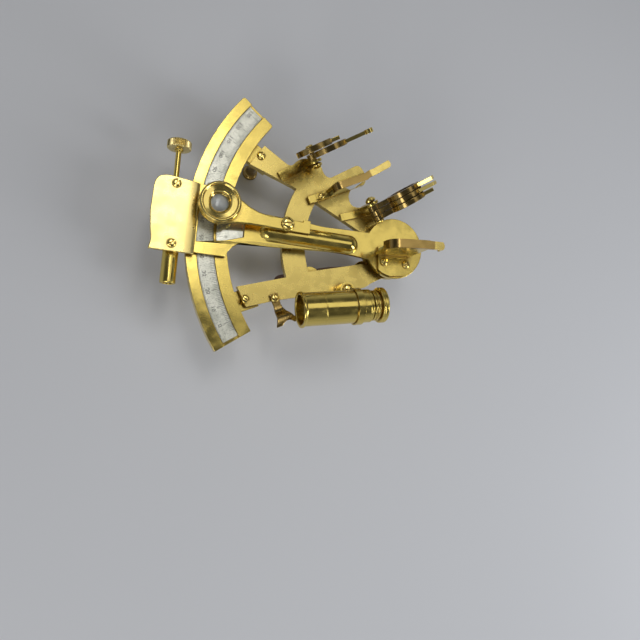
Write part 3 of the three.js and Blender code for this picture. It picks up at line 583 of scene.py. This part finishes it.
def build_telescope():
    r = 6.8  # the main tube
    tube = [(r - 0.9, 2.2), (r - 0.9, 0.25), (r - 0.5, 0), (r + 0.4, 0), (r + 0.55, 0.25), (r + 0.55, 0.7),
            (r + 0.4, 0.95), (r + 0.1, 1.05), (r, 1.5), (r, 9.2), (r - 0.12, 9.3), (r - 0.12, 9.6), (r, 9.7),
            (r, 28.2), (r - 0.15, 28.35), (r - 0.15, 28.7), (r, 28.85), (r, 29.4), (r - 0.4, 29.8),
            (5.3, 29.8), (5.3, 10.4), (r - 1.4, 10.4), (r - 1.4, 5), (r - 0.9, 5)]
    turned("telescope_tube", tube, SCOPE, 0.1, 96, closed=True)
    turned("objective_lens", [(0, 5.9), (2, 5.98), (4, 6.2), (5.3, 6.6), (5.3, 8.2), (3.6, 8.9), (2, 9.12),
                              (0, 9.2)], SCOPE, 0.3, 72)
    end = 36  # length to the eyepiece
    draw = [(4.2, 17), (5.2, 17), (5.2, 30.2), (6.2, 30.25), (6.3, 30.45), (6.3, 31), (6.1, 31.2),
            (5.9, 31.4), (5.9, 31.75), (6.2, 31.85), (6.3, 32), (6.3, 32.5), (6.1, 32.7), (5.6, 32.9),
            (5.6, 33.2), (7.0, 33.4), (7.3, 33.7), (7.3, 34.1), (7.15, 34.25), (7.15, 34.4), (7.3, 34.55),
            (7.3, end - 0.4), (7, end), (6, end), (2.4, end - 1.4), (2.4, end - 3), (4.2, end - 3)]
    turned("draw_tube", draw, SCOPE, 0.1, 96, closed=True)
    eye = [(0, end - 6), (2.6, end - 5.8), (4.1, end - 5.2), (4.1, end - 4), (2.2, end - 3.4), (0, end - 3.2)]
    turned("eyepiece_lens", eye, SCOPE, 0.3, 64)


# ---- feet and grip ----
def build_feet():
    for node in ("foot_upper", "foot_lower", "foot_apex"):
        centre = middle(node)
        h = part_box(node)[1].z * TO_MM
        profile = [(0, 0), (2.7, 0), (3.05, 0.12), (3.4, 0.6), (3.4, 1.0), (3.2, 1.6), (2.5, 2.2), (2.1, 2.8),
                   (1.85, 3.8), (1.8, 5), (1.8, h - 5.4), (2.05, h - 5.2), (2.05, h - 4.7), (1.85, h - 4.5),
                   (2.0, h - 3.6), (2.5, h - 2.6), (3.2, h - 1.7), (3.2, h), (0, h)]
        turned(node, profile, Matrix.Translation((centre.x, centre.y, 0)), 0.16, 64)


def build_grip():
    x0, y0, x1, y1 = -34.5, -16.5, -10.4, -10.2
    span = math.hypot(x1 - x0, y1 - y0)
    place = PLAN @ Matrix.Translation((x0, y0, 8)) @ turn(math.degrees(math.atan2(y1 - y0, x1 - x0)),
                                                          "Z") @ turn(90, "Y")
    half = [(0, -13), (1.2, -12.9), (2.2, -12.6), (3.1, -11.8), (3.6, -11), (3.85, -9.6), (3.9, -8),
            (3.8, -6), (3.7, -4), (3.85, -1.5), (4.15, 1), (4.4, 3), (4.75, 6.5), (4.95, 9.5), (5, span / 2)]
    back = [(r, span - h) for r, h in reversed(half[:-1])]
    turned("handle_grip", half + back, place, 0, 64)


# ---- graduations: thin filled lines that stand on the silvered faces ----
SCALE_TOP = 26.75
VERNIER_TOP = 28.4
PER_DEGREE = 2  # the arc reads twice its own angle
ZERO_AT = -31.0  # polar angle of the scale's zero
FILL = 0.03  # height of the fill above the silvering
SCALE_INNER, SCALE_OUTER = 79.0, 85.15  # radii of the two border lines
VERNIER_ZERO, VERNIER_STEP, VERNIER_RIM = -4.4, 0.45, 77.5  # degrees, degrees, radius


def on_arc(r, degrees):
    a = math.radians(degrees)
    return Vector((-r * math.cos(a), r * math.sin(a)))


def tick_box(verts, faces, inner, outer, degrees, width, z):
    """A line from radius `inner` to `outer`, added to a mesh being made."""
    out = on_arc(1, degrees)
    side = Vector((-out.y, out.x)) * width / 2
    base = len(verts)
    for level in (z - 0.05, z + FILL):
        for r, way in ((inner, -1), (outer, -1), (outer, 1), (inner, 1)):
            p = out * r + side * way
            verts.append((p.x, p.y, level))
    for quad in ((0, 1, 2, 3), (4, 5, 6, 7), (0, 1, 5, 4), (1, 2, 6, 5), (2, 3, 7, 6), (3, 0, 4, 7)):
        faces.append(tuple(base + k for k in quad))


def arc_line(verts, faces, radius, start, end, width, z):
    steps = 90
    base = len(verts)
    for i in range(steps + 1):
        a = start + (end - start) * i / steps
        for r, level in ((radius - width / 2, z - 0.05), (radius + width / 2, z - 0.05),
                         (radius + width / 2, z + FILL), (radius - width / 2, z + FILL)):
            p = on_arc(r, a)
            verts.append((p.x, p.y, level))
    for i in range(steps):
        for k in range(4):
            a, b = base + 4 * i + k, base + 4 * i + (k + 1) % 4
            faces.append((a, b, b + 4, a + 4))
    faces.append(tuple(base + k for k in range(4)))
    faces.append(tuple(base + 4 * steps + k for k in range(4)))


def digits(verts, faces, text, radius, degrees, size, z):
    """Numbers that stand upright when the arc is towards the reader."""
    curve = bpy.data.curves.new("digits", "FONT")
    curve.body, curve.size = text, size
    curve.align_x, curve.align_y = "CENTER", "CENTER"
    curve.resolution_u = 2
    curve.extrude = FILL
    obj = bpy.data.objects.new("digits", curve)
    bpy.context.scene.collection.objects.link(obj)
    bpy.context.view_layer.update()
    mesh = bpy.data.meshes.new_from_object(obj.evaluated_get(bpy.context.evaluated_depsgraph_get()))
    bpy.data.objects.remove(obj)
    up = -on_arc(1, degrees)
    right = Vector((up.y, -up.x))
    centre = on_arc(radius, degrees)
    base = len(verts)
    for v in mesh.vertices:
        p = centre + right * v.co.x + up * v.co.y
        verts.append((p.x, p.y, z + v.co.z))
    faces.extend(tuple(base + k for k in p.vertices) for p in mesh.polygons)


def build_scale():
    verts, faces = [], []
    for unit in range(-5, 133):
        a = ZERO_AT + unit / PER_DEGREE
        length = 2.9 if unit % 10 == 0 else 2.2 if unit % 5 == 0 else 1.5
        width = 0.16 if unit % 10 == 0 else 0.11
        tick_box(verts, faces, SCALE_INNER, SCALE_INNER + length, a, width, SCALE_TOP)
    for radius in (SCALE_INNER, SCALE_OUTER):
        arc_line(verts, faces, radius, ZERO_AT - 3, ZERO_AT + 66.5, 0.1, SCALE_TOP)
    mesh_object("scale_lines", "frame", "silver_scale", verts, faces, PLAN, ENAMEL)
    verts, faces = [], []
    for unit in range(0, 131, 10):
        digits(verts, faces, str(unit), 83.5, ZERO_AT + unit / PER_DEGREE, 2.3, SCALE_TOP)
    mesh_object("scale_numbers", "frame", "silver_scale", verts, faces, PLAN, ENAMEL)
    verts, faces = [], []
    for mark in range(0, 21):
        a = VERNIER_ZERO + mark * VERNIER_STEP
        length = 2.4 if mark % 5 == 0 else 1.5
        tick_box(verts, faces, VERNIER_RIM - length, VERNIER_RIM, a, 0.11, VERNIER_TOP)
    for mark in range(0, 21, 5):
        digits(verts, faces, str(mark), 73.9, VERNIER_ZERO + mark * VERNIER_STEP, 1.7, VERNIER_TOP)
    mesh_object("vernier_lines", "index_arm", "silver_scale", verts, faces, ARM, ENAMEL)


# ---- floor and light ----
def build_floor():
    """A pale floor that glows a little far away, so that its edge meets the backdrop softly."""
    size = 4.0  # half its width, metres
    mesh = bpy.data.meshes.new("floor")
    mesh.from_pydata([(-size, -size, 0), (size, -size, 0), (size, size, 0), (-size, size, 0)], [],
                     [(0, 1, 2, 3)])
    floor = bpy.data.objects.new("floor", mesh)
    bpy.context.scene.collection.objects.link(floor)
    m = Shade("floor", Roughness=0.75)
    m.set(Base_Color=m.mix(m.noise(3, 2), (0.70, 0.71, 0.74), (0.75, 0.76, 0.79)))
    away = m.tree.nodes.new("ShaderNodeVectorMath")
    away.operation = "LENGTH"
    put(m.tree, away.inputs[0], m.where)
    m.set(Emission_Color=(0.93, 0.96, 1.0, 1))
    m.set(Emission_Strength=m.ramp(away.outputs["Value"], 0.5, 3.2, 0.0, 0.36))
    paint(floor, m.material)


def area_light(name, at, towards, size, power, colour=(1, 1, 1)):
    """A rectangular light; places and sizes in metres, power in watts."""
    data = bpy.data.lights.new(name, "AREA")
    data.shape = "RECTANGLE"
    data.size, data.size_y = size
    data.energy, data.color = power, colour
    lamp = bpy.data.objects.new(name, data)
    lamp.location = at
    lamp.rotation_euler = (Vector(towards) - Vector(at)).to_track_quat("-Z", "Y").to_euler()
    bpy.context.scene.collection.objects.link(lamp)


def build_light():
    area_light("key", (0.05, 0.20, 0.62), (0.0, 0, 0.02), (0.62, 0.30), 0.52, (1.0, 0.98, 0.94))
    area_light("strip", (-0.03, 0.17, 0.55), (-0.05, 0, 0.03), (0.09, 0.22), 0.24, (1.0, 0.98, 0.95))
    area_light("side", (0.55, -0.20, 0.36), (0.02, 0, 0.03), (0.16, 0.5), 1.6, (0.95, 0.97, 1.0))
    area_light("front", (-0.30, -0.60, 0.42), (0, 0, 0.02), (0.5, 0.22), 1.6)
    world = bpy.data.worlds.new("studio")
    world.use_nodes = True
    tree = world.node_tree
    way = tree.nodes.new("ShaderNodeTexCoord").outputs["Generated"]
    split = tree.nodes.new("ShaderNodeSeparateXYZ")
    tree.links.new(way, split.inputs[0])
    rise = tree.nodes.new("ShaderNodeMapRange")
    rise.inputs["From Min"].default_value, rise.inputs["From Max"].default_value = 0.0, 0.55
    rise.inputs["To Min"].default_value, rise.inputs["To Max"].default_value = 0.50, 0.08
    tree.links.new(split.outputs["Z"], rise.inputs["Value"])
    back = tree.nodes["Background"]
    back.inputs["Color"].default_value = (0.93, 0.96, 1.0, 1)
    tree.links.new(rise.outputs["Result"], back.inputs["Strength"])
    bpy.context.scene.world = world
    bpy.context.scene.view_settings.view_transform = "Standard"


build_camera()
dress_nodes()
build_cast()
build_screws()
build_tangent()
build_magnifier()
build_telescope()
build_feet()
build_grip()
build_scale()
build_floor()
build_light()

bpy.context.view_layer.update()
